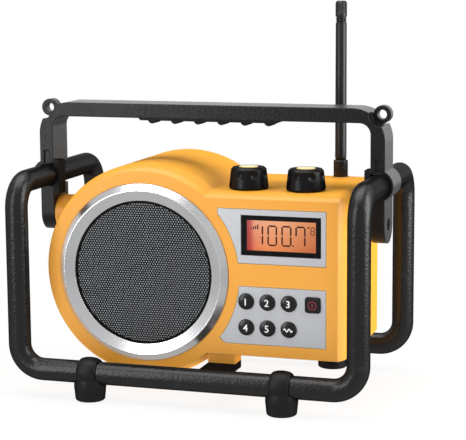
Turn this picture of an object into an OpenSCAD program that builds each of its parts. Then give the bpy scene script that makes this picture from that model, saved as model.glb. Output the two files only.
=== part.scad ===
// Worksite radio in a tube cage. Millimetres, +Z up, front face towards -Y.
// Origin: on the surface the feet stand on, midway between the side hoops and the front and rear tubes.

/* [Cage] */
// Width over the two side hoops
cage_w = 296; // [290:1:306]
// Distance between the centres of the front and rear tubes
cage_depth = 161; // [158:1:175]
// Outer diameter of the tube
tube_d = 18; // [16:0.5:18]
// Wall of the tube
tube_wall = 2; // [1.2:0.1:3]
// Height of the lower tubes' centres
tube_h = 22; // [20:0.5:24]
// Height of the side rails' centres
rail_h = 170.5; // [168:0.5:176]
// Radius of the bends, at the tube's centre
bend_r = 20; // [16:1:24]
// Distance from the middle to the seams of the lower tubes
seam_x = 56; // [45:1:60]
// Length of a joiner inside a seam
joiner_l = 48; // [30:1:56]

/* [Feet] */
// Distance from the middle to a foot
foot_x = 79; // [74:1:84]
// Largest radius of a foot, just under the tube
foot_r = 12.8; // [12:0.1:13]
// Radius of a foot where it stands
foot_base_r = 11.9; // [10:0.1:12]
// Rounding of a foot's lower edge
foot_edge = 2; // [1:0.2:3]
// Width of a foot's band over the tube
foot_band_w = 16; // [14:0.5:18]
// Thickness of a foot's band
foot_band_t = 3.4; // [2.5:0.1:4]

/* [Handle] */
// Height of the handle's top
handle_top = 230.5; // [225:0.5:240]
// Thickness of the bar and the legs
handle_t = 11.5; // [10:0.5:12]
// Depth of the bar and the legs, front to back
handle_d = 29.5; // [26:0.5:30]
// Middle of the handle, front to back
handle_y = -5.25; // [-5.25:0.25:0]
// Radius of the inner corners of the handle
handle_inner_r = 9; // [5:0.5:14]
// Radius of the outer corners of the handle
handle_outer_r = 26; // [20:1:28]
// Radius of the half collars around the rails
collar_r = 12.5; // [12:0.1:14]
// Height of the bolts through the tongues
bolt_h = 138.3; // [134:0.1:139]
// Outer radius of an eyelet
eye_r = 7; // [6:0.1:8]
// Radius of an eyelet's hole
eye_hole_r = 3.65; // [3:0.05:4.5]
// Thickness of an eyelet
eye_t = 8; // [6:0.5:10]
// Length of the finger grip
grip_l = 118; // [100:1:140]
// Number of ribs on the finger grip
grip_ribs = 6; // [4:1:7]

/* [Cabinet] */
// Front face
face_y = -56; // [-58:0.5:-54]
// Back face
back_y = 62; // [60:0.5:66]
// Parting line of the two cabinet halves
part_y = -20; // [-21:0.5:-19.5]
// Middle of the speaker, across
speaker_at = -42; // [-44:0.5:-40]
// Middle of the speaker, up
speaker_h = 100; // [98:0.5:101]
// Radius of the round speaker housing
drum_radius = 85.5; // [84:0.5:87]
// Right side of the cabinet
side_at = 121; // [120:0.5:124]
// Top of the cabinet's right part
top_h = 166.5; // [166:0.5:170]
// Underside of the cabinet's right part
base_h = 38; // [36:0.5:39]
// Inset of the bevelled front edge
bevel_in = 4.5; // [3:0.5:5]
// Depth of the bevelled front edge
bevel_deep = 14; // [8:1:16]
// Rounding of the upper right edge
corner_r = 9; // [4:1:12]
// Wall of the cabinet
wall = 2.6; // [2:0.1:3]
// Thickness of the front face
face_wall = 4; // [3.6:0.1:5]
// Radius of the side bosses
boss_r = 14.25; // [12:0.25:14.25]

/* [Speaker] */
// Outer radius of the chrome ring
ring_radius = 71; // [68:0.5:72]
// Inner radius of the chrome ring
ring_opening = 57.6; // [56:0.2:58.6]
// How far the ring stands out of the face
ring_out = 4.8; // [4:0.1:6]
// Radius of the cone
cone_radius = 45; // [42:0.5:46]
// Travel of the cone each way
cone_travel = 1.5; // [0.5:0.1:1.5]

/* [Controls] */
// Middle of the first column of keys
key_left = 43.4; // [42:0.1:45]
// Distance between the columns of keys
key_across = 17.2; // [16:0.1:18]
// Height of the upper row of keys
key_upper = 81.4; // [80:0.1:83]
// Distance between the rows of keys
key_rows = 20.5; // [18:0.1:21]
// Radius of a round key
key_r = 6.2; // [5:0.1:6.4]
// Width of the power key
power_w = 12; // [10:0.2:13]
// Middle of the power key, across
power_at = 97; // [95:0.1:98]
// Travel of a key
key_travel = 1; // [0.4:0.1:1]
// Middle of the volume knob, across
volume_at = 37.9; // [36:0.1:40]
// Middle of the tuning knob, across
tuning_at = 84.4; // [82:0.1:88]
// Middle of the knobs, front to back
knob_y = -29.5; // [-31:0.5:-28.5]
// Radius of a knob at its foot
knob_r = 15.6; // [13:0.1:16.5]
// Radius of a knob at its top
knob_top_r = 14; // [12:0.1:15]
// Height of a knob
knob_l = 16.5; // [14:0.5:20]
// Finger dimples around a knob
knob_dimples = 8; // [6:1:9]
// Radius of the disc in a knob's top
disc_r = 7.4; // [5:0.1:8]

/* [Display] */
// Left edge of the display window
window_left = 39.3; // [38:0.1:41]
// Right edge of the display window
window_right = 103.5; // [100:0.1:104]
// Lower edge of the display window
window_low = 117.8; // [116:0.1:119]
// Upper edge of the display window
window_high = 149.5; // [147:0.1:150]
// Width of the black border at the sides
border_x = 4.4; // [3:0.1:6]
// Width of the black border above and below
border_z = 4; // [3:0.1:5]

/* [Aerial] */
// Aerial's place, across
aerial_at = 91.4; // [88:0.1:94]
// Aerial's place, front to back
aerial_y = 54; // [52:0.1:54]
// Radius of the ferrule
ferrule_r = 5.9; // [5.5:0.1:6.5]
// Radius of the whip
whip_r = 4.7; // [4:0.1:4.8]
// Height of the aerial's tip
whip_top = 311; // [280:1:340]

/* [Battery] */
// Diameter of a cell
cell_d = 26.2; // [24:0.1:26.2]
// Length of a cell
cell_l = 50; // [48:0.5:50]
// Middle of the battery box, across
box_x = 2; // [0:0.5:4]
// Middle of the battery box, up
box_h = 86.5; // [86:0.5:88]

/* [Fits] */
// Radial clearance of a shaft or pin that turns
running = 0.05; // [0.02:0.01:0.1]
// Gap around pieces that slide, and between panels and recesses
slack = 0.3; // [0.2:0.05:0.4]

/* [Hidden] */
$fn = 64;
eps = 0.01;

// The cabinet's places are given for a cage and a box of these sizes, and follow both in proportion
drawn_x = [-148, 148];
drawn_z = [38, 166.5];
function across(x) = x * cage_w / (drawn_x[1] - drawn_x[0]);
function rise(h) = h * (top_h - base_h) / (drawn_z[1] - drawn_z[0]);
function up(z) = base_h + rise(z - drawn_z[0]);

speaker_x = across(speaker_at);
drum_r = across(drum_radius);
side_x = across(side_at);
ring_r = across(ring_radius);
ring_in_r = across(ring_opening);
cone_r = across(cone_radius);
key_x = across(key_left);
key_dx = across(key_across);
key_h = up(key_upper);
key_dz = rise(key_rows);
power_x = across(power_at);
volume_x = across(volume_at);
tuning_x = across(tuning_at);
window_x0 = across(window_left);
window_x1 = across(window_right);
window_z0 = up(window_low);
window_z1 = up(window_high);
aerial_x = across(aerial_at);

tube_r = tube_d / 2;
cage_x = cage_w / 2 - tube_r;
cage_y = cage_depth / 2;
bore_r = tube_r + running;
shoulder_h = 11;
band_edge = 0.8;
leg_in = cage_x - handle_t / 2;
leg_out = cage_x + handle_t / 2;
handle_y0 = handle_y - handle_d / 2;
handle_y1 = handle_y + handle_d / 2;
bar_low = handle_top - handle_t;
collar_low = rail_h - 14;
eye_x = leg_out - 4.8;
eye_h = handle_top - 5.3;
tongue_gap = 0.1;
boss_end = leg_in - tongue_gap;
bolt_r = 2.5;
bolt_head_r = 4.3;
inner_face = face_y + face_wall;
back_wall = 4;
inner_back = back_y - back_wall;
rim_wall = wall + 2.6;
panel_t = 1.8;
panel_floor = face_y + 1.6;
panel_front = panel_floor - panel_t;
panel_x = [across(20.6), across(107.3)];
panel_r = across(80);
display_z = [up(111.6), up(154)];
keypad_z = [up(47.6), up(93.1)];
display_cut = 0.6;
keypad_cut = 5;
ring_seat = 0.8;
ring_back = face_y + ring_seat;
ring_front = face_y - ring_out;
ring_edge = 0.8;
ring_slope_w = 4.8;
ring_crest_w = 0.6;
ring_lip = 0.8;
grille_t = 0.8;
grille_r = ring_in_r + 2.4;
grille_front = face_y - 0.8;
opening_r = ring_in_r - 1.1;
frame_r = opening_r + 5.5;
surround_r = opening_r - 2.5;
speaker_screw_r = frame_r - 2.8;
frame_y = inner_face;
ledge_y = frame_y + 1.2;
rim_y = frame_y + 0.4;
coil_r = 12.5;
coil_in = 6;
coil_spare = 7.5;
basket_r = 32.4;
plate_r = 29;
plate_t = 3;
magnet_r = 35;
magnet_y = -24;
magnet_l = coil_in + cone_travel + coil_spare;
spider_y = -33;
pillars = [[speaker_x - across(62), speaker_h + 42], [speaker_x - across(62), speaker_h - 42],
    [speaker_x + across(52), speaker_h - 52], [across(111), up(48)],
    [across(111), up(155)], [speaker_x + across(52), speaker_h + 52]];
pillar_r = 5;
screw_r = 1.5;
screw_head_r = 2.9;
case_screw_l = 14;
speaker_screw_l = 2.4;
bolt_l = 16;
hole_end = 2;
shoulder_y = part_y + 8;
key_flange_y = inner_face + 0.1;
key_flange_t = 1;
key_top = panel_front - 1.6;
key_stem_y = key_flange_y + key_flange_t + 3.4;
switch_y = key_stem_y + key_travel + 0.25;
board_y = switch_y + 4.2;
board_t = 1.6;
bushing_r = 3.5;
shaft_r = 3;
shaft_top = top_h + 12.5;
knob_low = top_h + 0.8;
knob_high = knob_low + knob_l;
boss_top = top_h + 0.8;
ferrule_top = boss_top + 13.7;
pivot_h = ferrule_top + 2.6;
tip_l = 12.5;
stud_r = 3;
box_hx = cell_l + 2.4;
box_hz = cell_d + 1.6;
box_front = 29;
door_y0 = back_y - 2.4;
door_hx = box_hx + 3.6;
door_hz = box_hz + 2.2;
door_low = box_h - door_hz;
hinge_y = back_y + 3;
hinge_h = door_low + 1.2;
hinge_r = 2.6;
pin_r = 1;
hub_dx = 32;
hub_x = [box_x - hub_dx, box_x + hub_dx];
hub_w = 12;
hub_gap = 0.3;
ear_w = 4.4;
tab_h = box_h + door_hz + 3;
tab_r = 6;
socket_x = across(84);
socket_h = up(51);
socket_r = 1.8;
pedestal_y = [-54, -38];
pedestal_h = 30;
pedestal_gap = 3.85;
pedestal_w = 22.4;
pedestal_x0 = speaker_x + sqrt(pow(drum_r, 2) - pow(speaker_h - pedestal_h, 2)) + pedestal_gap;
pedestal_x = [pedestal_x0, pedestal_x0 + pedestal_w];
saddle_h = 24;
bumper_x = across(108.6);
bumper_y = -39.5;
bumper_r = 11.3;
bumper_low = 30.2;
peg_r = 3;
peg_l = 6;
saddle_peg = [pedestal_x0 + pedestal_w / 2, -46];
main_x = [across(60), across(112)];
main_z = [up(62), up(146)];
main_y = 8;
pin_in = 4;
main_posts = [for (x = [main_x[0] + pin_in, main_x[1] - pin_in])
    for (z = [main_z[0] + pin_in, main_z[1] - pin_in]) [x, z]];
stake_r = 1;
lcd_x = [window_x0 + 1.6, window_x1 - 1.6];
lcd_z = [window_z0 + 1.6, window_z1 - 1.6];
can_in = 9;
can_z = [main_z[1] - rise(42), main_z[1] - rise(14)];
sink_z = [main_z[0] + rise(10), main_z[0] + rise(28)];
board_x = [across(36), across(104)];
board_z = [up(52), up(90)];
board_posts = [for (p = [[52, 71.2], [69.2, 71.2], [88.5, 56.5], [99, 64]]) [across(p[0]), up(p[1])]];
jaw_t = 4.75;
jaw_d = 13.5;
jaw_over = 12;
jaw_under = 15.4;
jaw_x = [leg_in - jaw_t, leg_in - eps];
clamp_y = handle_y0 + jaw_d / 2;
clamp_h = rail_h - 12;
clamp_head_r = 2.6;
clamp_head_l = 2.2;
clamp_l = 7.5;
disc_proud = 0.4;
dimple_turn = 34;
dimple_r = 5;
boss_in = 19.5;
cell_y = box_front + 2.4 + cell_d / 2;

// An arc's points, counted from angle a0 to a1
function arc(x, y, r, a0, a1, n = 8) =
    [for (i = [0:n]) let (a = a0 + (a1 - a0) * i / n) [x + r * cos(a), y + r * sin(a)]];

// Bevelled front edge: depth behind the face, and inset from the full outline
bevel_a = 35;
function bevel(n = 6) =
    [for (i = [0:n]) let (a = bevel_a + (90 - bevel_a) * i / n)
        [bevel_deep * (cos(bevel_a) - cos(a)) / cos(bevel_a),
         bevel_in * (1 - sin(a)) / (1 - sin(bevel_a))]];

// A front view (x, z), from y0 to y1
module slab(y0, y1) {
    translate([0, y1, 0]) rotate([90, 0, 0]) linear_extrude(y1 - y0) children();
}

// A side view (y, z), from x0 to x1
module slice(x0, x1) {
    translate([x0, 0, 0]) rotate([90, 0, 90]) linear_extrude(x1 - x0) children();
}

// A profile (radius, y) turned about a line that runs front to back
module turned(x = speaker_x, z = speaker_h) {
    translate([x, 0, z]) rotate([-90, 0, 0]) rotate_extrude($fn = 96) children();
}

module rod_x(y, z, r, x0, x1) {
    translate([x0, y, z]) rotate([0, 90, 0]) cylinder(r = r, h = x1 - x0);
}

module rod_y(x, z, r, y0, y1) {
    translate([x, y0, z]) rotate([-90, 0, 0]) cylinder(r = r, h = y1 - y0);
}

module rod_z(x, y, r, z0, z1) {
    translate([x, y, z0]) cylinder(r = r, h = z1 - z0);
}

module block(lo, hi) {
    translate(lo) cube(hi - lo);
}

module both_sides() {
    children();
    mirror([1, 0, 0]) children();
}

// A hollow tube along Z, and a hollow quarter bend from +X to +Y
module tube_run(length) {
    difference() {
        cylinder(r = tube_r, h = length);
        translate([0, 0, -1]) cylinder(r = tube_r - tube_wall, h = length + 2);
    }
}

module tube_bend() {
    rotate_extrude(angle = 90) translate([bend_r, 0]) difference() {
        circle(tube_r);
        circle(tube_r - tube_wall);
    }
}

// Half of the right hoop: the rear bends, the rear upright and the lower stub
module hoop_half() {
    translate([cage_x, cage_y - bend_r, rail_h - bend_r]) rotate([90, 0, 90]) tube_bend();
    translate([cage_x, cage_y, tube_h + bend_r]) tube_run(rail_h - tube_h - 2 * bend_r);
    translate([cage_x - bend_r, cage_y, tube_h + bend_r]) rotate([-90, 0, 0]) tube_bend();
    translate([seam_x, cage_y, tube_h]) rotate([0, 90, 0]) tube_run(cage_x - bend_r - seam_x);
}

module side_hoop() {
    hoop_half();
    mirror([0, 1, 0]) hoop_half();
    translate([cage_x, bend_r - cage_y, rail_h]) rotate([-90, 0, 0]) tube_run(cage_depth - 2 * bend_r);
}

module right_side_tube() {
    color("#26262a") side_hoop();
}

module left_side_tube() {
    color("#26262a") mirror([1, 0, 0]) side_hoop();
}

module cross_tube(y) {
    color("#26262a") translate([-seam_x, y, tube_h]) rotate([0, 90, 0]) tube_run(2 * seam_x);
}

module front_cross_tube() {
    cross_tube(-cage_y);
}

module rear_cross_tube() {
    cross_tube(cage_y);
}

module tube_joiners() {
    color("silver") both_sides() for (y = [-cage_y, cage_y])
        rod_x(y, tube_h, tube_r - tube_wall - running, seam_x - joiner_l / 2, seam_x + joiner_l / 2);
}

// A foot: a turned body whose shoulders draw in to a rounded band over the tube, drilled across for it
module foot(sx, sy) {
    neck_r = foot_band_w / 2;
    edge = arc(foot_base_r - foot_edge, foot_edge, foot_edge, -90, 0, 4);
    shoulder = [for (a = [0:10:90])
        [neck_r + (foot_r - neck_r) * cos(a), tube_h - shoulder_h + (shoulder_h - 1) * sin(a)]];
    crown = [for (a = [0:10:180])
        [tube_r + band_edge + (foot_band_t - band_edge) * sin(a), -neck_r * cos(a)]];
    color("#222225") translate([sx * foot_x, sy * cage_y, 0]) difference() {
        union() {
            rotate_extrude($fn = 96) polygon(concat([[0, 0]], edge, shoulder, [[0, tube_h - 1]]));
            translate([0, 0, tube_h]) rotate([0, 90, 0]) rotate_extrude($fn = 96)
                polygon(concat([[tube_r - 2, -neck_r]], crown, [[tube_r - 2, neck_r]]));
        }
        rod_x(0, tube_h, bore_r, -2 * foot_r, 2 * foot_r);
    }
}

module front_left_foot() {
    foot(-1, -1);
}

module front_right_foot() {
    foot(1, -1);
}

module rear_left_foot() {
    foot(-1, 1);
}

module rear_right_foot() {
    foot(1, 1);
}

// Front view of the bar and the legs
module handle_outline() {
    polygon(concat(
        [[leg_in, collar_low], [leg_out, collar_low]],
        arc(leg_out - handle_outer_r, handle_top - handle_outer_r, handle_outer_r, 0, 90, 20),
        arc(handle_outer_r - leg_out, handle_top - handle_outer_r, handle_outer_r, 90, 180, 20),
        [[-leg_out, collar_low], [-leg_in, collar_low]],
        arc(handle_inner_r - leg_in, bar_low - handle_inner_r, handle_inner_r, 180, 90, 12),
        arc(leg_in - handle_inner_r, bar_low - handle_inner_r, handle_inner_r, 90, 0, 12)));
}

// Side view of a tongue with its round lower end
module tongue_outline() {
    polygon(concat([[handle_y1, rail_h - 4], [handle_y0, rail_h - 4]],
        arc(handle_y, bolt_h, handle_d / 2, 180, 360, 24)));
}

module handle() {
    groove = tube_r + running;
    color("#2b2b2f") difference() {
        union() {
            slab(handle_y0, handle_y1) handle_outline();
            both_sides() {
                slice(leg_in, leg_out) tongue_outline();
                intersection() {
                    rod_y(cage_x, rail_h, collar_r, handle_y0, handle_y1);
                    block([cage_x, handle_y0 - 1, rail_h - 2 * collar_r],
                        [cage_x + 2 * collar_r, handle_y1 + 1, rail_h + 2 * collar_r]);
                }
            }
            both_sides() rod_y(eye_x, eye_h, eye_r, handle_y - eye_t / 2, handle_y + eye_t / 2);
        }
        both_sides() {
            rod_y(cage_x, rail_h, groove, handle_y0 - 1, handle_y1 + 1);
            block([leg_in - 1, handle_y0 - 1, rail_h - groove], [cage_x, handle_y1 + 1, rail_h + groove]);
            rod_y(eye_x, eye_h, eye_hole_r, handle_y0 - 1, handle_y1 + 1);
            rod_y(eye_x, eye_h, eye_r + 1.5, handle_y0 - 1, handle_y - eye_t / 2);
            rod_y(eye_x, eye_h, eye_r + 1.5, handle_y + eye_t / 2, handle_y1 + 1);
            rod_x(handle_y, bolt_h, bolt_r + slack, leg_in - 1, leg_out + 1);
            rod_x(handle_y, bolt_h, bolt_head_r + 0.9, leg_out - 5, leg_out + 1);
            rod_x(clamp_y, clamp_h, screw_r + running, leg_in - 1, leg_in + clamp_l + 0.7);
            block([cage_x - 2.5, handle_y0 - 1, rail_h + tube_r + 0.7],
                [cage_x + 2.5, handle_y0 + 1.5, rail_h + tube_r + 11]);
        }
    }
}

// The finger grip: a pad under the bar with short round ribs along its middle
module handle_grip() {
    pad = 2;
    rib_r = 3.8;
    rib_l = 3;
    rib_d = 14;
    rib_h = rib_r - pad - rib_l;
    rib_a = asin((pad / 2 + rib_h) / rib_r);
    end = grip_l / 2 - pad;
    pitch = (grip_l - 20) / (grip_ribs - 1);
    color("#1c1c1f") translate([0, 0, bar_low - eps]) {
        slab(handle_y0 + 2, handle_y1 - 2)
            polygon([[grip_l / 2, 0], [-grip_l / 2, 0], [-end, -pad], [end, -pad]]);
        for (i = [0:grip_ribs - 1])
            slab(handle_y - rib_d / 2, handle_y + rib_d / 2)
                polygon(arc((i - (grip_ribs - 1) / 2) * pitch, rib_h, rib_r, rib_a - 180, -rib_a));
    }
}

// Jaws that close the collars over the inner side of the rails
module clamp_jaws() {
    color("#2b2b2f") both_sides() difference() {
        block([jaw_x[0], handle_y0, rail_h - jaw_under], [jaw_x[1], handle_y0 + jaw_d, rail_h + jaw_over]);
        rod_y(cage_x, rail_h, bore_r, handle_y0 - 1, handle_y1 + 1);
        rod_x(clamp_y, clamp_h, screw_r + running, jaw_x[0] - 1, jaw_x[1] + 1);
        rod_x(clamp_y, clamp_h, clamp_head_r + 0.2, jaw_x[0] - 1, jaw_x[0] + clamp_head_l);
    }
}

module clamp_screws() {
    color("#3a3a3e") both_sides() {
        rod_x(clamp_y, clamp_h, screw_r, jaw_x[0] + clamp_head_l, leg_in + clamp_l);
        rod_x(clamp_y, clamp_h, clamp_head_r, jaw_x[0] + 0.4, jaw_x[0] + clamp_head_l);
    }
}

module bracket_bolts() {
    color("#3a3a3e") both_sides() difference() {
        union() {
            rod_x(handle_y, bolt_h, bolt_r, boss_end - bolt_l, leg_out - 5);
            rod_x(handle_y, bolt_h, bolt_head_r, leg_out - 5, leg_out - 0.8);
        }
        translate([leg_out - 3.2, handle_y, bolt_h]) rotate([0, 90, 0]) cylinder(r = 2.3, h = 5, $fn = 6);
    }
}

// Front view of the cabinet's outline, drawn in by inset all round
module cabinet_outline(inset = 0) {
    x1 = side_x - inset;
    z1 = top_h - inset;
    r = max(corner_r - inset, 1);
    translate([speaker_x, speaker_h]) circle(drum_r - inset, $fn = 128);
    polygon(concat([[speaker_x, base_h + inset], [x1, base_h + inset]],
        arc(x1 - r, z1 - r, r, 0, 90), [[speaker_x, z1]]));
}

// The front half as one lump: a turned drum and a box, both with the bevelled edge
module front_lump() {
    rim = bevel();
    last = len(rim) - 1;
    turned() polygon(concat([[0, part_y], [drum_r, part_y]],
        [for (i = [last:-1:0]) [drum_r - rim[i][1], face_y + rim[i][0]]], [[0, face_y]]));
    intersection() {
        slice(speaker_x, side_x) polygon(concat([[part_y, base_h], [face_y, base_h]],
            [for (p = rim) [face_y + p[0], top_h - p[1]]], [[part_y, top_h]]));
        translate([0, 0, base_h - 1]) linear_extrude(top_h - base_h + 2)
            polygon(concat([[speaker_x, part_y], [speaker_x, face_y]],
                [for (p = rim) [side_x - p[1], face_y + p[0]]], [[side_x, part_y]]));
        slab(face_y - 1, part_y + 1) polygon(concat([[speaker_x - 1, base_h - 1], [side_x, base_h - 1]],
            arc(side_x - corner_r, top_h - corner_r, corner_r, 0, 90), [[speaker_x - 1, top_h]]));
    }
}

// Front view of a silver panel: a cut lower corner, and hollow beside the speaker
module panel_outline(z, cut, grow = 0) {
    x0 = panel_x[0] - grow;
    x1 = panel_x[1] + grow;
    z0 = z[0] - grow;
    z1 = z[1] + grow;
    difference() {
        polygon([[x0 + cut, z0], [x1, z0], [x1, z1], [x0, z1], [x0, z0 + cut]]);
        translate([speaker_x, speaker_h]) circle(panel_r - grow, $fn = 128);
    }
}

function key_at(i) = [key_x + (i % 3) * key_dx, key_h - floor(i / 3) * key_dz];

// Front views of the key openings, grown by a gap
module key_holes(grow) {
    for (i = [0:5]) translate(key_at(i)) circle(key_r + grow);
    translate([power_x, key_h]) rounded_square(power_w + 2 * grow, 2 + grow);
}

module rounded_square(w, r) {
    h = w / 2 - r;
    polygon(concat(arc(h, h, r, 0, 90, 4), arc(-h, h, r, 90, 180, 4),
        arc(-h, -h, r, 180, 270, 4), arc(h, -h, r, 270, 360, 4)));
}

module front_cabinet() {
    color("#f5a623") difference() {
        union() {
            difference() {
                front_lump();
                slab(inner_face, part_y + 1) cabinet_outline(rim_wall);
                slab(face_y + bevel_deep - 2, part_y + 1) cabinet_outline(wall);
            }
            for (p = pillars) rod_y(p[0], p[1], pillar_r, inner_face - 1, part_y);
            for (p = board_posts) {
                rod_y(p[0], p[1], 2.6, inner_face - 1, board_y);
                rod_y(p[0], p[1], stake_r, board_y - 1, board_y + board_t + 0.8);
            }
            block([pedestal_x[0], pedestal_y[0], pedestal_h], [pedestal_x[1], pedestal_y[1], base_h + 1]);
        }
        turned() polygon([[0, face_y - 1], [ring_r + slack, face_y - 1], [ring_r + slack, ring_back],
            [opening_r, ring_back], [opening_r, inner_face + 1], [0, inner_face + 1]]);
        slab(face_y - 1, panel_floor) {
            panel_outline(display_z, display_cut, slack);
            panel_outline(keypad_z, keypad_cut, slack);
        }
        block([lcd_x[0] - slack, face_y, lcd_z[0] - slack],
            [lcd_x[1] + slack, inner_face + 1, lcd_z[1] + slack]);
        slab(face_y, inner_face + 1) key_holes(slack);
        for (x = [volume_x, tuning_x]) rod_z(x, knob_y, bushing_r + running, top_h - 6, top_h + 1);
        for (p = pillars)
            rod_y(p[0], p[1], screw_r + running, part_y - case_screw_l - hole_end, part_y + 1);
        for (a = [45:90:359]) around_speaker(a)
            rod_y(speaker_screw_r, 0, screw_r + running, frame_y - speaker_screw_l - 0.2, frame_y + 1);
        rod_z(saddle_peg[0], saddle_peg[1], peg_r + running, pedestal_h - 1, pedestal_h + peg_l + 0.4);
        rod_z(bumper_x, bumper_y, peg_r + running, base_h - 1, base_h + wall + 1);
    }
}

// Front view of the battery door, with a tab for its screw
module door_outline(grow = 0) {
    translate([box_x - door_hx - grow, door_low - grow])
        square([2 * (door_hx + grow), 2 * (door_hz + grow)]);
    translate([box_x, tab_h]) circle(tab_r + grow);
}

// Ears of the cabinet beside each knuckle of the door, with webs down to the back
module hinge_ears() {
    for (x = hub_x, s = [-1, 1]) {
        middle = x + s * (hub_w / 2 + hub_gap + ear_w / 2);
        rod_x(hinge_y, hinge_h, hinge_r, middle - ear_w / 2, middle + ear_w / 2);
        block([middle - ear_w / 2, back_y - 1, hinge_h - 4.5], [middle + ear_w / 2, hinge_y, hinge_h]);
    }
}

module rear_cabinet() {
    color("#f5a623") difference() {
        union() {
            difference() {
                slab(part_y, back_y) cabinet_outline();
                slab(part_y - 1, inner_back) cabinet_outline(wall);
            }
            for (p = pillars) rod_y(p[0], p[1], pillar_r + 0.2, part_y, inner_back + 1);
            rod_x(handle_y, bolt_h, boss_r, -boss_end, speaker_x - drum_r + boss_in);
            rod_x(handle_y, bolt_h, boss_r, side_x - 8, boss_end);
            rod_z(aerial_x, aerial_y, 7.6, top_h - 6, boss_top);
            block([box_x - box_hx - 2, box_front, box_h - box_hz - 2],
                [box_x + box_hx + 2, inner_back + 1, box_h + box_hz + 2]);
            rod_y(box_x, tab_h, 4.5, inner_back - 8, inner_back + 1);
            for (p = main_posts) {
                rod_y(p[0], p[1], 3, main_y + board_t, inner_back + 1);
                rod_y(p[0], p[1], stake_r, main_y - 0.8, main_y + board_t + 1);
            }
            hinge_ears();
        }
        block([box_x - box_hx, box_front + 2, box_h - box_hz], [box_x + box_hx, back_y, box_h + box_hz]);
        slab(door_y0 - 0.4, back_y + 0.3) door_outline(slack);
        rod_y(box_x, tab_h, screw_r + 0.6, inner_back - 4, back_y);
        for (x = hub_x) rod_x(hinge_y, hinge_h, pin_r + running, x - hub_w, x + hub_w);
        for (p = pillars) {
            rod_y(p[0], p[1], screw_r + slack, part_y - 1, back_y);
            rod_y(p[0], p[1], screw_head_r + 0.4, shoulder_y, back_y + 1);
        }
        both_sides()
            rod_x(handle_y, bolt_h, bolt_r + running, boss_end - bolt_l - hole_end, boss_end + 1);
        rod_z(aerial_x, aerial_y, stud_r + running, top_h - 7, boss_top + 1);
        rod_y(socket_x, socket_h, 5 + running, inner_back - 1, back_y + 1);
    }
}

module case_screws() {
    color("silver") for (p = pillars) {
        rod_y(p[0], p[1], screw_r, part_y - case_screw_l, shoulder_y);
        rod_y(p[0], p[1], screw_head_r, shoulder_y, shoulder_y + 2.4);
    }
}

// Rubber saddle under the pedestal, seated on the front tube and plugged into the pedestal
module front_saddle() {
    top = pedestal_h - eps;
    color("#1a1a1c") {
        difference() {
            union() {
                block([pedestal_x[0], pedestal_y[0], saddle_h], [pedestal_x[1], pedestal_y[1], top]);
                block([pedestal_x[0], 5 - cage_y, saddle_h + 1], [pedestal_x[1], pedestal_y[0] + 1, top]);
            }
            rod_x(-cage_y, tube_h, bore_r, pedestal_x[0] - 1, pedestal_x[1] + 1);
        }
        rod_z(saddle_peg[0], saddle_peg[1], peg_r, top - 1, pedestal_h + peg_l);
    }
}

module body_bumper() {
    top = base_h - bumper_low - eps;
    color("#1a1a1c") translate([bumper_x, bumper_y, bumper_low]) rotate_extrude($fn = 96)
        polygon(concat([[0, 0]], arc(bumper_r - 1.5, 1.5, 1.5, -90, 0, 4),
            [[bumper_r, top], [peg_r, top], [peg_r, top + wall + 0.8], [0, top + wall + 0.8]]));
}

// Chrome ring: an outer cone up to a crest, and a dished inner cone down to the edge of the grille
module speaker_ring() {
    seat_r = grille_r + slack;
    lip_y = grille_front - slack;
    crest_r = ring_r - ring_slope_w;
    color("#c9ccd0") turned() polygon([[ring_r, ring_back], [ring_r, face_y - ring_edge], [crest_r, ring_front],
        [crest_r - ring_crest_w, ring_front], [ring_in_r, grille_front - ring_lip], [ring_in_r, lip_y],
        [seat_r, lip_y], [seat_r, ring_back]]);
}

module speaker_grille() {
    rim_in = grille_r - grille_t;
    seat = ring_back - eps;
    back = grille_front + grille_t;
    color("#141416") turned() polygon([[0, grille_front], [grille_r, grille_front], [grille_r, seat],
        [rim_in, seat], [rim_in, back], [0, back]]);
}

module around_speaker(a) {
    translate([speaker_x, 0, speaker_h]) rotate([0, a, 0]) children();
}

// Pressed frame: a flange on the back of the face, a basket with windows, and a plate on the magnet
module speaker_frame() {
    color("#8a8d92") difference() {
        turned() polygon([[surround_r, frame_y], [frame_r, frame_y], [frame_r, frame_y + 2],
            [surround_r + 0.5, frame_y + 2], [basket_r, spider_y + 1], [basket_r, magnet_y - eps],
            [coil_r + 2, magnet_y - eps], [coil_r + 2, magnet_y - 1.6], [basket_r - 2, magnet_y - 1.6],
            [basket_r - 2, spider_y], [surround_r - 2.5, ledge_y + 1.2], [surround_r - 2.5, ledge_y],
            [surround_r, ledge_y]]);
        for (a = [0:60:359]) around_speaker(a)
            block([basket_r + 1.6, frame_y + 4, -9], [surround_r + 4, spider_y - 1, 9]);
        for (a = [45:90:359]) around_speaker(a)
            rod_y(speaker_screw_r, 0, screw_r + running, frame_y - 1, frame_y + 3);
    }
}

// Magnet between two plates, with a pole inside the coil
module speaker_magnet() {
    gap_in = coil_r - 1.4;
    gap_out = coil_r + 1.2;
    floor_y = magnet_y + magnet_l;
    color("#4a4a50") turned() polygon([[gap_out, magnet_y], [plate_r, magnet_y],
        [plate_r, magnet_y + plate_t], [magnet_r, magnet_y + plate_t], [magnet_r, floor_y],
        [plate_r, floor_y], [plate_r, floor_y + plate_t], [0, floor_y + plate_t], [0, magnet_y - 1],
        [gap_in, magnet_y - 1], [gap_in, floor_y], [gap_out, floor_y]]);
}

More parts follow.
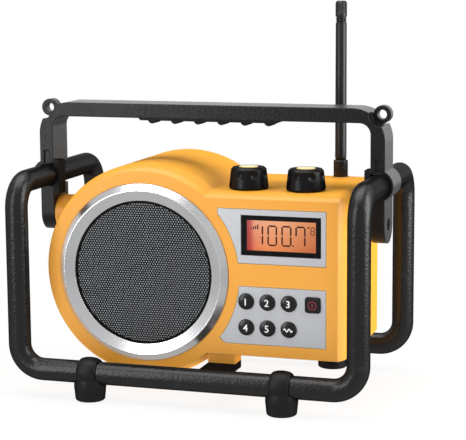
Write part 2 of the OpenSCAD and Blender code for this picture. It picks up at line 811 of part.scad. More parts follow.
// Paper cone with its dust cap, and the coil on its former
module speaker_cone() {
    neck_y = spider_y - 3;
    cap_r = coil_r + 1.5;
    cap_l = 5;
    color("#1d1d20") {
        turned() polygon(concat([[cone_r, rim_y], [coil_r + 2.4, neck_y - 1.2]],
            [for (i = [0:5]) [cap_r * cos(18 * i), neck_y - 1.2 - cap_l * sin(18 * i)]],
            [[0, neck_y - cap_l], [coil_r - 1, neck_y], [coil_r + 2, neck_y + 0.4],
             [cone_r, rim_y + 0.8]]));
        turned() polygon([[coil_r - 0.6, neck_y - 0.4], [coil_r + 0.3, neck_y - 0.4],
            [coil_r + 0.3, magnet_y + coil_in], [coil_r - 0.6, magnet_y + coil_in]]);
    }
}

// Rubber half roll between the cone and the ledge of the frame
module speaker_surround() {
    inner = cone_r + slack;
    roll = (surround_r - 2.8 - inner) / 2;
    mid = inner + roll;
    t = 0.8 - eps;
    color("#18181a") turned() polygon(concat(
        [for (i = [0:12]) [mid - roll * cos(15 * i), rim_y - roll * sin(15 * i)]],
        [[surround_r - 0.1, rim_y], [surround_r - 0.1, rim_y + t]],
        [for (i = [12:-1:0]) [mid - (roll - t) * cos(15 * i), rim_y + t - (roll - t) * sin(15 * i)]],
        [[inner, rim_y + t]]));
}

// Corrugated centring spider
module speaker_spider() {
    r0 = coil_r + 0.3 + slack;
    r1 = basket_r - 2.05;
    n = 24;
    wave = [for (i = [0:n]) [r0 + (r1 - r0) * i / n, spider_y + 1.2 + 0.7 * cos(360 * 4 * i / n)]];
    color("#c89b3c") turned() polygon(concat(wave, [for (i = [n:-1:0]) [wave[i][0], wave[i][1] + 0.5]]));
}

module speaker_screws() {
    color("silver") for (a = [45:90:359]) around_speaker(a) {
        rod_y(speaker_screw_r, 0, screw_r, frame_y - speaker_screw_l, frame_y + 2);
        rod_y(speaker_screw_r, 0, screw_head_r - 0.2, frame_y + 2, frame_y + 3.8);
    }
}

module display_panel() {
    color("#c4c6cb") difference() {
        slab(panel_front, panel_floor - eps) panel_outline(display_z, display_cut);
        block([window_x0, panel_front - 1, window_z0], [window_x1, panel_floor + 1, window_z1]);
    }
}

module display_window() {
    color("#9fb4c0") block([window_x0 + 0.1, panel_front - 0.1, window_z0 + 0.1],
        [window_x1 - 0.1, panel_floor - 0.6, window_z1 - 0.1]);
}

module display_border() {
    color("#0c0c0e") difference() {
        block([window_x0 + 0.1, panel_floor - 0.6 + eps, window_z0 + 0.1],
            [window_x1 - 0.1, panel_floor - eps, window_z1 - 0.1]);
        block([window_x0 + border_x, panel_floor - 2, window_z0 + border_z],
            [window_x1 - border_x, panel_floor + 1, window_z1 - border_z]);
    }
}

module lcd_glass() {
    color("#f08a3c") block([lcd_x[0], panel_floor + 0.1, lcd_z[0]], [lcd_x[1], inner_face - 0.2, lcd_z[1]]);
}

module lcd_backlight() {
    color("#e8e4dc") {
        block([lcd_x[0] - 1.4, inner_face + eps, lcd_z[0] - 1.4],
            [lcd_x[1] + 1.4, inner_face + 4, lcd_z[1] + 1.4]);
        block([lcd_x[0] + 4, inner_face + 3.9, lcd_z[0] + 3],
            [lcd_x[1] - 4, inner_face + 5.4, lcd_z[1] - 3]);
    }
}

module keypad_panel() {
    color("#c4c6cb") difference() {
        slab(panel_front, panel_floor - eps) panel_outline(keypad_z, keypad_cut);
        slab(panel_front - 1, panel_floor + 1) key_holes(slack);
    }
}

// A round key: domed top, flange behind the face, and a stem towards its switch
module round_key(i) {
    p = key_at(i);
    color("#161618") turned(p[0], p[1]) polygon(concat([[0, key_stem_y]],
        [for (a = [0:15:75]) [key_r * sin(a), key_top + 0.4 - 1.2 * cos(a)]],
        [[key_r, key_top + 0.8], [key_r, key_flange_y], [key_r + 1.3, key_flange_y],
         [key_r + 1.3, key_flange_y + key_flange_t], [2, key_flange_y + key_flange_t], [2, key_stem_y]]));
}

module key_1() {
    round_key(0);
}

module key_2() {
    round_key(1);
}

module key_3() {
    round_key(2);
}

module key_4() {
    round_key(3);
}

module key_5() {
    round_key(4);
}

module band_key() {
    round_key(5);
}

module power_key() {
    color("#161618") {
        translate([power_x, 0, key_h]) {
            slab(key_top + 0.4, key_flange_y) rounded_square(power_w, 2);
            slab(key_top - 0.2, key_top + 0.4) rounded_square(power_w - 1.4, 1.4);
            slab(key_flange_y, key_flange_y + key_flange_t) rounded_square(power_w + 2.4, 3);
        }
        rod_y(power_x, key_h, 2, key_flange_y + key_flange_t, key_stem_y);
    }
}

// Keypad board with its switches soldered on
module keypad_board() {
    switches = concat([for (i = [0:5]) key_at(i)], [[power_x, key_h]]);
    color("#2f6b3c") {
        difference() {
            block([board_x[0], board_y + eps, board_z[0]], [board_x[1], board_y + board_t, board_z[1]]);
            for (p = board_posts) rod_y(p[0], p[1], stake_r + running, board_y - 1, board_y + board_t + 1);
        }
        for (p = switches) {
            block([p[0] - 3, switch_y + 0.8, p[1] - 3], [p[0] + 3, board_y + 0.1, p[1] + 3]);
            rod_y(p[0], p[1], 1.6, switch_y, switch_y + 0.9);
        }
    }
}

// Main board with the tuner's shield can and the amplifier's heat sink
module main_board() {
    back = main_y + board_t - eps;
    color("#2f6b3c") {
        difference() {
            block([main_x[0], main_y, main_z[0]], [main_x[1], back, main_z[1]]);
            for (p = main_posts) rod_y(p[0], p[1], stake_r + running, main_y - 1, back + 1);
        }
        block([main_x[0] + can_in, main_y - 6.5, can_z[0]], [main_x[1] - can_in, main_y + 0.1, can_z[1]]);
        for (i = [0:3]) block([main_x[0] + 12 + 5 * i, main_y - 12, sink_z[0]],
            [main_x[0] + 14 + 5 * i, main_y + 0.1, sink_z[1]]);
    }
}

// A rotary control under the cabinet's top, with a threaded bushing through it
module rotary_control(x) {
    color("#8f9398") difference() {
        union() {
            block([x - 8, knob_y - 8, top_h - 13], [x + 8, knob_y + 8, top_h - wall - eps]);
            rod_z(x, knob_y, bushing_r, top_h - wall - 0.5, top_h + 5);
        }
        rod_z(x, knob_y, shaft_r + running, top_h - 12, top_h + 6);
    }
}

module control_shaft(x) {
    color("#d0d2d6") rod_z(x, knob_y, shaft_r, top_h - 11.5, shaft_top);
}

// A knob: a tapered drum with finger dimples, hollow under its skirt, and a seat for the disc on top
module knob(x) {
    color("#17171a") translate([x, knob_y, 0]) difference() {
        rotate_extrude($fn = 96) polygon([[0, knob_low], [knob_r - 0.6, knob_low], [knob_r, knob_low + 0.8],
            [knob_top_r, knob_high - 1.6], [knob_top_r - 1.6, knob_high], [0, knob_high]]);
        for (i = [0:knob_dimples - 1]) rotate([0, 0, dimple_turn + i * 360 / knob_dimples])
            translate([knob_top_r + dimple_r - 1.1, 0, knob_high - dimple_r]) sphere(dimple_r);
        translate([0, 0, knob_low - 1]) cylinder(r = 9, h = 6.5);
        translate([0, 0, knob_low - 1]) cylinder(r = shaft_r + running, h = shaft_top - knob_low + 1.3);
        translate([0, 0, knob_high - 1]) cylinder(r = disc_r + 0.1, h = 2);
    }
}

module volume_control() {
    rotary_control(volume_x);
}

module volume_shaft() {
    control_shaft(volume_x);
}

module volume_knob() {
    knob(volume_x);
}

module tuning_encoder() {
    rotary_control(tuning_x);
}

module tuning_shaft() {
    control_shaft(tuning_x);
}

module tuning_knob() {
    knob(tuning_x);
}

// The disc in a knob's top
module knob_disc(x) {
    color("#f3dca0") rod_z(x, knob_y, disc_r, knob_high - 1 + eps, knob_high + disc_proud);
}

module volume_disc() {
    knob_disc(volume_x);
}

module tuning_disc() {
    knob_disc(tuning_x);
}

module control_nuts() {
    color("silver") for (x = [volume_x, tuning_x]) difference() {
        translate([x, knob_y, top_h + eps]) cylinder(r = 5.6, h = 2.4, $fn = 6);
        rod_z(x, knob_y, bushing_r + running, top_h - 1, top_h + 4);
    }
}

// Aerial ferrule: a turned socket for the whip's round foot, with a stud through the boss
module antenna_ferrule() {
    stud_h = top_h - 5.5;
    low = boss_top + eps;
    color("#1c1c1f") difference() {
        translate([aerial_x, aerial_y, 0]) rotate_extrude($fn = 96) polygon([[0, stud_h], [stud_r, stud_h],
            [stud_r, low], [ferrule_r, low], [ferrule_r, ferrule_top - 0.5], [ferrule_r - 0.5, ferrule_top],
            [0, ferrule_top]]);
        translate([aerial_x, aerial_y, pivot_h]) sphere(whip_r + slack);
    }
}

// The whip's sheath: a round foot, a plain rod and three ring grooves below the tip
module antenna_whip() {
    top = whip_top - tip_l;
    color("#1a1a1c") translate([aerial_x, aerial_y, 0]) rotate_extrude($fn = 96) polygon(concat(
        arc(0, pivot_h, whip_r, -90, 0, 8),
        [for (i = [0:2], p = [[0, 0], [-0.7, 0.4], [-0.7, 1], [0, 1.4]])
            [whip_r - 0.2 + p[0], top - 5.4 + 1.8 * i + p[1]]],
        [[whip_r - 0.2, top], [0, top]]));
}

module antenna_tip() {
    low = whip_top - tip_l + eps;
    color("#1a1a1c") translate([aerial_x, aerial_y, 0]) difference() {
        rotate_extrude($fn = 96) polygon([[0, low], [whip_r - 0.2, low], [whip_r, low + 0.8],
            [whip_r, whip_top - 1.6], [whip_r - 1.4, whip_top], [0, whip_top]]);
        for (a = [0:36:359]) rotate([0, 0, a])
            translate([whip_r + 0.5, 0, low + 2.4]) cylinder(r = 1.1, h = tip_l);
    }
}

module battery_door() {
    color("#f5a623") difference() {
        union() {
            slab(door_y0, back_y) door_outline();
            for (x = hub_x) {
                rod_x(hinge_y, hinge_h, hinge_r, x - hub_w / 2, x + hub_w / 2);
                block([x - hub_w / 2, back_y - 0.5, hinge_h],
                    [x + hub_w / 2, hinge_y, hinge_h + hinge_r - 0.6]);
            }
            for (i = [0:4]) block([box_x - 14, back_y - 0.5, box_h + 10 + 2.6 * i],
                [box_x + 14, back_y + 0.8, box_h + 11.2 + 2.6 * i]);
        }
        for (x = hub_x) rod_x(hinge_y, hinge_h, pin_r + running, x - hub_w, x + hub_w);
        rod_y(box_x, tab_h, screw_r + running, door_y0 - 1, back_y + 1);
        rod_y(box_x, tab_h, 3.5, back_y - 1.2, back_y + 1);
    }
}

// Captive screw of the door, with a coin slot
module door_screw() {
    color("silver") difference() {
        union() {
            rod_y(box_x, tab_h, screw_r, door_y0 - 2.6, back_y);
            rod_y(box_x, tab_h, 3.2, back_y - 1.2 + eps, back_y + 0.8);
        }
        block([box_x - 4, back_y, tab_h - 0.5], [box_x + 4, back_y + 1, tab_h + 0.5]);
    }
}

module hinge_pins() {
    end = hub_w / 2 + hub_gap + ear_w;
    color("silver") for (x = hub_x) rod_x(hinge_y, hinge_h, pin_r, x - end, x + end);
}

// Four cells in two rows, each with its raised contact
module battery_cells() {
    nub = 1.5;
    color("#39566b") for (sx = [-1, 1], sz = [-1, 1]) {
        z = box_h + sz * (cell_d / 2 + 0.3);
        x = sx < 0 ? box_x - 0.2 - cell_l : box_x + 0.2;
        x0 = sz > 0 ? x : x + nub;
        rod_x(cell_y, z, cell_d / 2, x0, x0 + cell_l - nub);
        rod_x(cell_y, z, 4, sz > 0 ? x0 + cell_l - nub - 1 : x, sz > 0 ? x + cell_l : x0 + 1);
    }
}

// Sprung plates at the ends of the rows
module battery_contacts() {
    plate = 18;
    color("silver") translate([box_x, 0, 0]) both_sides() for (sz = [-1, 1]) {
        z = box_h + sz * (cell_d / 2 + 0.3);
        block([box_hx - 0.8, cell_y - plate / 2, z - plate / 2],
            [box_hx - eps, cell_y + plate / 2, z + plate / 2]);
        rod_x(cell_y, z, 5, cell_l + 0.3, box_hx - 0.4);
    }
}

module audio_socket() {
    color("#1c1c1f") difference() {
        union() {
            rod_y(socket_x, socket_h, 5, inner_back - 9, back_y + 0.5);
            rod_y(socket_x, socket_h, 6.6, back_y + eps, back_y + 1.2);
            rod_y(socket_x, socket_h, 6.4, inner_back - 2.6, inner_back - eps);
        }
        rod_y(socket_x, socket_h, socket_r, inner_back - 7.5, back_y + 2);
    }
}

left_side_tube();
right_side_tube();
front_cross_tube();
rear_cross_tube();
tube_joiners();
front_left_foot();
front_right_foot();
rear_left_foot();
rear_right_foot();
handle();
handle_grip();
clamp_jaws();
clamp_screws();
bracket_bolts();
front_cabinet();
rear_cabinet();
case_screws();
front_saddle();
body_bumper();
speaker_ring();
speaker_grille();
speaker_frame();
speaker_magnet();
speaker_cone();
speaker_surround();
speaker_spider();
speaker_screws();
display_panel();
display_window();
display_border();
lcd_glass();
lcd_backlight();
keypad_panel();
key_1();
key_2();
key_3();
key_4();
key_5();
band_key();
power_key();
keypad_board();
main_board();
volume_control();
volume_shaft();
volume_knob();
volume_disc();
tuning_encoder();
tuning_shaft();
tuning_knob();
tuning_disc();
control_nuts();
antenna_ferrule();
antenna_whip();
antenna_tip();
battery_door();
door_screw();
hinge_pins();
battery_cells();
battery_contacts();
audio_socket();
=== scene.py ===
# %% [markdown]
# A worksite radio in a tube cage. The packed model comes in as a fixed frame: every solid is already in its place, in
# metres, with +Z up and the front face towards -Y. This lesson only adds what CAD leaves out: finishes, the perforated
# sheet over the speaker, the marks on the keys, the figures behind the display window, and a studio to see them in.

# %% Load the frame
import math

import bmesh
import bpy
from mathutils import Matrix, Vector


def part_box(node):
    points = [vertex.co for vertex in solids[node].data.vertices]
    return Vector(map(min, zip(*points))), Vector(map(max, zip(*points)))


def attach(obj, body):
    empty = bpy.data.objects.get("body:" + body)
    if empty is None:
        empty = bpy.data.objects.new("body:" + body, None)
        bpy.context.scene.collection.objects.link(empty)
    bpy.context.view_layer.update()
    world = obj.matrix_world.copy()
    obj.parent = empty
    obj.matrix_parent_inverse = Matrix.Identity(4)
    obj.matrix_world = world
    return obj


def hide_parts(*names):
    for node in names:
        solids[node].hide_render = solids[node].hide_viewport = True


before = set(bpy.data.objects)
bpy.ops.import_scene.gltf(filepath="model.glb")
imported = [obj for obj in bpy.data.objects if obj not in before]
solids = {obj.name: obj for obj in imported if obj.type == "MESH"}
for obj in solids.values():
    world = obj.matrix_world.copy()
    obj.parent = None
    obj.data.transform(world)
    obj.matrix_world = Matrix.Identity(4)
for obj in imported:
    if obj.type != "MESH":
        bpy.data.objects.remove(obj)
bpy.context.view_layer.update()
scene = bpy.context.scene

# %% [markdown]
# The photograph is seen from a little to the right and a little above. A camera could be placed by eye, but this one
# was found by matching points on the tubes, the handle and the panels, so that a render lies over the photograph. Here
# it is only written down: where it stands, which way it looks, how far it leans and its focal length in pixels of the
# photograph. The lens wants that length in millimetres on its sensor.

# %% Camera
PHOTO_PIXELS, FOCAL_PIXELS, SENSOR_MM = 466, 1634.631, 36.0
stand = Vector((0.413934, -1.246928, 0.342224))
turn, tilt, lean = math.radians(17.735), math.radians(8.956), math.radians(-0.388)
forward = Vector((-math.sin(turn) * math.cos(tilt), math.cos(turn) * math.cos(tilt), -math.sin(tilt)))
level = Vector((math.cos(turn), math.sin(turn), 0.0))
upright = level.cross(forward)
across = level * math.cos(lean) + upright * math.sin(lean)
upward = upright * math.cos(lean) - level * math.sin(lean)

lens = bpy.data.cameras.new("camera")
lens.sensor_fit = "HORIZONTAL"
lens.sensor_width = SENSOR_MM
lens.lens = FOCAL_PIXELS / PHOTO_PIXELS * SENSOR_MM
camera = bpy.data.objects.new("camera", lens)
camera.matrix_world = Matrix.Translation(stand) @ Matrix((across, upward, -forward)).transposed().to_4x4()
scene.collection.objects.link(camera)
scene.camera = camera
print("lens", round(lens.lens, 1), "mm")

# %% [markdown]
# Sums between shader values are easier to read as Python than as a heap of Math nodes. A Wire holds one output socket,
# and each operator on it adds the node that does that sum. The reflected forms let a plain number come first, as in
# 1 - mask. On masks, & keeps where both hold and | keeps where either does.

# %% Shader sums as Python
def plug(socket, value):
    """Links a Wire to a socket, or writes a plain value on it."""
    if isinstance(value, Wire):
        socket.id_data.links.new(value.socket, socket)
    else:
        socket.default_value = value


class Wire:
    """One output socket of a shader node."""

    def __init__(self, socket):
        self.socket = socket

    def sum(self, operation, *values):
        """Adds a Math node that works on these values."""
        node = self.socket.id_data.nodes.new("ShaderNodeMath")
        node.operation = operation
        for socket, value in zip(node.inputs, values):
            plug(socket, value)
        return Wire(node.outputs[0])

    def __add__(self, other): return self.sum("ADD", self, other)
    def __radd__(self, other): return self.sum("ADD", other, self)
    def __sub__(self, other): return self.sum("SUBTRACT", self, other)
    def __rsub__(self, other): return self.sum("SUBTRACT", other, self)
    def __mul__(self, other): return self.sum("MULTIPLY", self, other)
    def __rmul__(self, other): return self.sum("MULTIPLY", other, self)
    def __truediv__(self, other): return self.sum("DIVIDE", self, other)
    def __rtruediv__(self, other): return self.sum("DIVIDE", other, self)
    def __gt__(self, other): return self.sum("GREATER_THAN", self, other)
    def __lt__(self, other): return self.sum("LESS_THAN", self, other)
    def __and__(self, other): return self.sum("MINIMUM", self, other)
    def __rand__(self, other): return self.sum("MINIMUM", other, self)
    def __or__(self, other): return self.sum("MAXIMUM", self, other)
    def __ror__(self, other): return self.sum("MAXIMUM", other, self)


print("a Wire takes + - * / > < & |")

# %% [markdown]
# Every other node comes from one method, add. It takes the node's type, then the settings that change which sockets the
# node has, and then what goes into the sockets. The studio also asks which kind of ray meets a surface, so that has a
# word of its own.

# %% Nodes
class Nodes:
    """A node tree, and the one way in which nodes are added to it."""

    def __init__(self, tree):
        self.tree = tree

    def add(self, kind, settings=None, out=0, **sockets):
        """Adds a node: its settings first, then its sockets. A word such as i6 is the socket's number."""
        node = self.tree.nodes.new(kind)
        for word, value in (settings or {}).items():
            if word == "stops":
                ramp = node.color_ramp.elements
                while len(ramp) < len(value):
                    ramp.new(1.0)
                for stop, (at, tone) in zip(ramp, value):
                    stop.position, stop.color = at, tone
            else:
                setattr(node, word, value)
        for word, value in sockets.items():
            index = int(word[1:]) if word[0] == "i" and word[1:].isdigit() else word.replace("_", " ")
            plug(node.inputs[index], value)
        return Wire(node.outputs[out])

    def rays(self, *kinds):
        """1 for rays of any of these kinds, and 0 for the rest."""
        first, *others = (self.add("ShaderNodeLightPath", out=f"Is {kind} Ray") for kind in kinds)
        for other in others:
            first = first | other
        return first


print("words of a node tree:", [word for word in vars(Nodes) if not word.startswith("_")])

# %% [markdown]
# A Finish is a material with a Principled shader at its end, and a few words for things that most surfaces here need:
# noise, a colour between two colours, edge masks for wear and for painted highlights, small relief, and a gloss that
# dies away at a glancing angle, as it does on grained plastic and stippled paint. The matt share there is one plain
# colour.

# %% Finishes
class Finish(Nodes):
    """A material: one Principled shader and the nodes that feed it."""

    def __init__(self, name, **fixed):
        self.material = bpy.data.materials.new(name)
        self.material.use_nodes = True
        super().__init__(self.material.node_tree)
        self.shader = self.tree.nodes["Principled BSDF"]
        self.surface = Wire(self.shader.outputs[0])
        self.feed(**fixed)
        self.place = self.add("ShaderNodeTexCoord", out="Object")

    def feed(self, **sockets):
        """Gives the shader's sockets their links or values."""
        for word, value in sockets.items():
            plug(self.shader.inputs[word.replace("_", " ")], value)

    def noise(self, scale, detail=2.0, where=None):
        return self.add("ShaderNodeTexNoise", Vector=where or self.place, Scale=scale, Detail=detail)

    def blend(self, mask, first, second):
        """A colour between two colours, by a mask."""
        return self.add("ShaderNodeMix", {"data_type": "RGBA"}, out=2, i0=mask, i6=first, i7=second)

    def axis(self, letter):
        """The place along X, Y or Z."""
        return self.add("ShaderNodeSeparateXYZ", out=letter, i0=self.place)

    def rounded(self, radius):
        """The way that the surface faces, with its edges rounded off by a radius."""
        return self.add("ShaderNodeBevel", {"samples": 4}, Radius=radius)

    def edges(self, radius, gain=4.0):
        """How sharply the surface turns within a radius: 0 on flat ground, near 1 on an edge."""
        soft = self.rounded(radius)
        true = self.add("ShaderNodeNewGeometry", out="Normal")
        same = self.add("ShaderNodeVectorMath", {"operation": "DOT_PRODUCT"}, out=1, i0=soft, i1=true)
        return (1 - same) * gain & 1.0

    def relief(self, height, depth, radius):
        """Bumps of a given depth in metres, over edges rounded off by a radius."""
        soft = self.rounded(radius)
        self.feed(Normal=self.add("ShaderNodeBump", Height=height, Distance=depth, Strength=1.0, Normal=soft))

    def mixed(self, mask, first, second):
        """Ends the material in a mix of two shaders instead of the one."""
        end = self.add("ShaderNodeMixShader", i0=mask, i1=first, i2=second)
        plug(self.tree.nodes["Material Output"].inputs["Surface"], end)

    def matt_aslant(self, tone, start, gain=2.5, most=0.9):
        """Lets the gloss die away at a glancing angle, where the pits of a grained skin shade one another."""
        glancing = self.add("ShaderNodeLayerWeight", out="Facing", Blend=0.5)
        matt = self.add("ShaderNodeBsdfDiffuse", Color=tone)
        self.mixed((glancing - start) * gain & most | 0.0, self.surface, matt)


print("words of a finish:", [word for word in vars(Finish) if not word.startswith("_")])

# %% [markdown]
# The cabinet is moulded in orange-yellow plastic with a satin skin. Real mouldings are never one flat colour: the tone
# drifts slowly over a wall and the skin is finely pebbled. The edges are painted paler too: a painted highlight, where
# the bevels catch the light. A picture laid on the skin could show this, but noise has no seams and stays sharp from
# close by. Noise at several scales gives the drift, the dust and the pebbles, and the edge mask gives the painted
# highlight.

# %% Cabinet plastic
def linear(value):
    """A screen value from 0 to 255, as a share of full light."""
    return ((value / 255 + 0.055) / 1.055) ** 2.4 if value > 10 else value / 255 / 12.92


def rgb(red, green, blue):
    """A colour picked as screen values, as the linear colour that shaders want."""
    return linear(red), linear(green), linear(blue), 1.0


def cabinet_plastic(name, warm, pale, bevel_highlight):
    f = Finish(name, Specular_IOR_Level=0.4, Coat_Roughness=0.25)
    drift = f.noise(scale=9.0, detail=3.0)
    pebble = f.noise(scale=1500.0, detail=1.0)
    dust = f.noise(scale=140.0, detail=4.0)
    # Paler edges here are a painted highlight, where the bevels catch the light.
    tone = f.blend(f.edges(radius=0.0016) * 0.5, f.blend(drift, warm, pale), bevel_highlight)
    f.matt_aslant(pale, start=0.4)
    f.feed(Base_Color=tone, Roughness=0.36 + drift * 0.08 + dust * 0.06, Coat_Weight=0.03 + drift * 0.05)
    f.relief(pebble + dust * 0.4, depth=0.00004, radius=0.001)
    return f.material


yellow = cabinet_plastic("cabinet_yellow", rgb(233, 156, 48), rgb(238, 168, 60), rgb(250, 212, 124))
print(yellow.name, len(yellow.node_tree.nodes), "nodes")

# %% [markdown]
# The cage is bent steel tube under charcoal paint with a fine stipple. It is black, but not empty: broad soft grey
# highlights run along the tube, and the stipple breaks them up. Modelled dents would make a very heavy mesh, so the
# stipple is a bump. Low scuffs show where the cage is set down and carried. The handle, the feet, the knobs and the
# aerial are black too, each with its own grain and gloss, so they share the recipe.

# %% Cage paint and other blacks
def shade(tone, times, plus=0.0):
    """A colour made brighter or darker."""
    return tuple(min(1.0, times * v + plus) for v in tone[:3]) + (1.0,)


def black_skin(name, tone, worn, rough, stipple, depth, gloss, edge=0.0007, pitted=True):
    f = Finish(name, Specular_IOR_Level=gloss)
    grain = f.noise(stipple, detail=1.5)
    cloud = f.noise(scale=28.0, detail=4.0)
    scuff = (f.noise(scale=75.0, detail=6.0) > 0.66) * cloud
    wear = f.edges(edge * 1.5) * 0.35 | scuff * 0.3
    f.feed(Base_Color=f.blend(wear, f.blend(cloud, tone, shade(tone, 1.5)), worn),
           Roughness=rough + cloud * 0.14 - grain * 0.08)
    f.relief(grain, depth, edge)
    if pitted:
        f.matt_aslant(tone, start=0.28)
    return f.material


paint = black_skin("cage_paint", rgb(19, 19, 20), rgb(52, 52, 54),
                   rough=0.24, stipple=520.0, depth=0.00026, gloss=0.36)
moulded = black_skin("handle_plastic", rgb(12, 12, 13), rgb(50, 50, 52),
                     rough=0.33, stipple=520.0, depth=0.0002, gloss=0.3, edge=0.0016, pitted=False)
rubber = black_skin("foot_rubber", rgb(17, 17, 18), rgb(38, 38, 40),
                    rough=0.42, stipple=700.0, depth=0.00005, gloss=0.2)
sheath = black_skin("aerial_black", rgb(16, 16, 17), rgb(60, 60, 62),
                    rough=0.32, stipple=1600.0, depth=0.00003, gloss=0.44, edge=0.0003)
knob_skin = black_skin("knob_black", rgb(8, 8, 9), rgb(46, 46, 48),
                       rough=0.30, stipple=800.0, depth=0.00004, gloss=0.2, edge=0.0008)
print("black finishes:", [m.name for m in (paint, moulded, rubber, sheath, knob_skin)])

# %% [markdown]
# The speaker ring is plated and spun, so very fine rings run around it, and its highlight is drawn out across them.
# Anisotropy could draw it out too, but it would show no rings from close by. Here the rings are noise of the distance
# from the speaker's middle. Screws, pins and the sheet steel inside are metal without the rings: their skin is a plain
# fine grain.

# %% Metals
SPEAKER = Vector((-0.042, 0.0, 0.100))


def lathe_rings(f, count):
    """Noise that changes only with the distance from the speaker's middle."""
    from_middle = f.add("ShaderNodeVectorMath", {"operation": "SUBTRACT"}, i0=f.place, i1=SPEAKER)
    flat = f.add("ShaderNodeVectorMath", {"operation": "MULTIPLY"}, i0=from_middle, i1=(1.0, 0.0, 1.0))
    away = f.add("ShaderNodeVectorMath", {"operation": "LENGTH"}, out=1, i0=flat)
    return f.noise(scale=1.0, detail=2.0, where=f.add("ShaderNodeCombineXYZ", X=away * count))


def metal(name, tone, rough, rings=None, depth=0.000004, edge=0.0003):
    f = Finish(name, Metallic=1.0)
    cloud = f.noise(scale=60.0, detail=4.0)
    skin = lathe_rings(f, rings) if rings else f.noise(scale=2600.0)
    f.feed(Base_Color=f.blend(cloud, tone, shade(tone, 0.88)), Roughness=rough + cloud * 0.08 + skin * 0.06)
    f.relief(skin, depth, edge)
    return f.material


chrome = metal("ring_chrome", rgb(246, 247, 249), rough=0.16, rings=5200.0, depth=0.000006, edge=0.0006)
zinc = metal("screw_steel", rgb(186, 186, 188), rough=0.28)
steel = metal("frame_steel", rgb(168, 168, 172), rough=0.35)
iron = metal("magnet_iron", rgb(72, 72, 76), rough=0.5)
print("metals:", [m.name for m in (chrome, zinc, steel, iron)])

# %% [markdown]
# The two panels are sprayed silver: tiny metal flakes in a clear lacquer. Plain grey would look like bare plastic. A
# pattern of small cells gives each flake its own brightness, small enough to read as a soft sparkle, and the lacquer is
# a thin coat over it.

# %% Silver lacquer
def silver_lacquer():
    f = Finish("panel_silver", Metallic=0.5, Coat_Roughness=0.12)
    flake = f.add("ShaderNodeTexVoronoi", {"feature": "F1"}, out="Color", Vector=f.place, Scale=2600.0)
    sparkle = f.add("ShaderNodeSeparateColor", out=0, i0=flake)
    cloud = f.noise(scale=22.0, detail=3.0)
    f.feed(Base_Color=f.blend(sparkle * 0.6 + cloud * 0.4, rgb(186, 188, 192), rgb(208, 209, 212)),
           Roughness=0.38 + cloud * 0.06 + sparkle * 0.05, Coat_Weight=0.16 + cloud * 0.08)
    f.relief(f.noise(scale=1500.0), depth=0.00001, radius=0.0004)
    return f.material


silver = silver_lacquer()
print(silver.name)

# %% [markdown]
# The display glows amber from lamps at its upper left, so its colour runs from red at the left edge to orange, and from
# pale at the top to deep at the foot. Real lamps behind the glass would be slow to render and full of noise, so the
# glass gives off the light itself: both runs are Emission Colors that follow the place on it. The window in front is
# clear plastic: mostly see-through, with a faint reflection that grows at a glancing angle.

# %% Display finishes
def grey(share):
    return share, share, share, 1.0


def lit_glass():
    f = Finish("lcd_amber", Roughness=0.35, Specular_IOR_Level=0.1, Emission_Strength=0.95)
    left, wide = 0.0437, 0.0554
    foot, tall = 0.1218, 0.0237
    along = (f.axis("X") - left) / wide
    rise = (f.axis("Z") - foot) / tall
    deep_run = [(0.0, rgb(150, 44, 52)), (0.05, rgb(184, 50, 52)), (0.12, rgb(226, 116, 78)),
                (0.3, rgb(238, 140, 82)), (1.0, rgb(188, 96, 56))]
    pale_run = [(0.0, rgb(150, 58, 68)), (0.05, rgb(196, 84, 84)), (0.12, rgb(236, 168, 136)),
                (0.5, rgb(244, 172, 130)), (1.0, rgb(216, 136, 88))]
    deep, pale = (f.add("ShaderNodeValToRGB", {"stops": run}, Fac=along) for run in (deep_run, pale_run))
    patch = f.noise(scale=90.0)
    lit = f.blend(rise & 1.0 | 0.0, deep, pale)
    f.feed(Base_Color=f.blend(patch, rgb(26, 12, 6), rgb(34, 16, 8)),
           Emission_Color=f.blend(patch * 0.1, lit, rgb(255, 186, 120)))
    return f.material


def clear_window():
    f = Finish("window_clear", Specular_IOR_Level=0.5)
    smear = f.noise(scale=60.0, detail=5.0)
    f.feed(Base_Color=f.blend(smear, grey(0.9), grey(1.0)), Roughness=0.03 + smear * 0.05)
    f.relief(smear, depth=0.00001, radius=0.0002)
    clear = f.add("ShaderNodeBsdfTransparent")
    f.mixed(f.add("ShaderNodeFresnel", IOR=1.46) * 0.06, clear, f.surface)
    return f.material


amber, window = lit_glass(), clear_window()
print(amber.name, window.name)

# %% [markdown]
# Plain mouldings share one recipe: a base tone that drifts, a fine skin and softened edges. It covers the keys, the
# marks on them, the display's border, the boards and the small pieces at the back. One recipe with a few values says
# less than many recipes that are nearly the same.

# %% Small mouldings
def moulding(name, tone, rough, skin=1800.0, depth=0.00002, edge=0.0004, gloss=0.5):
    f = Finish(name, Specular_IOR_Level=gloss)
    drift = f.noise(scale=70.0, detail=4.0)
    paler = shade(tone, 1.4, plus=0.004)
    f.feed(Base_Color=f.blend(drift * 0.5 + f.edges(edge * 2) * 0.3, tone, paler), Roughness=rough + drift * 0.1)
    f.relief(f.noise(skin), depth, edge)
    return f.material


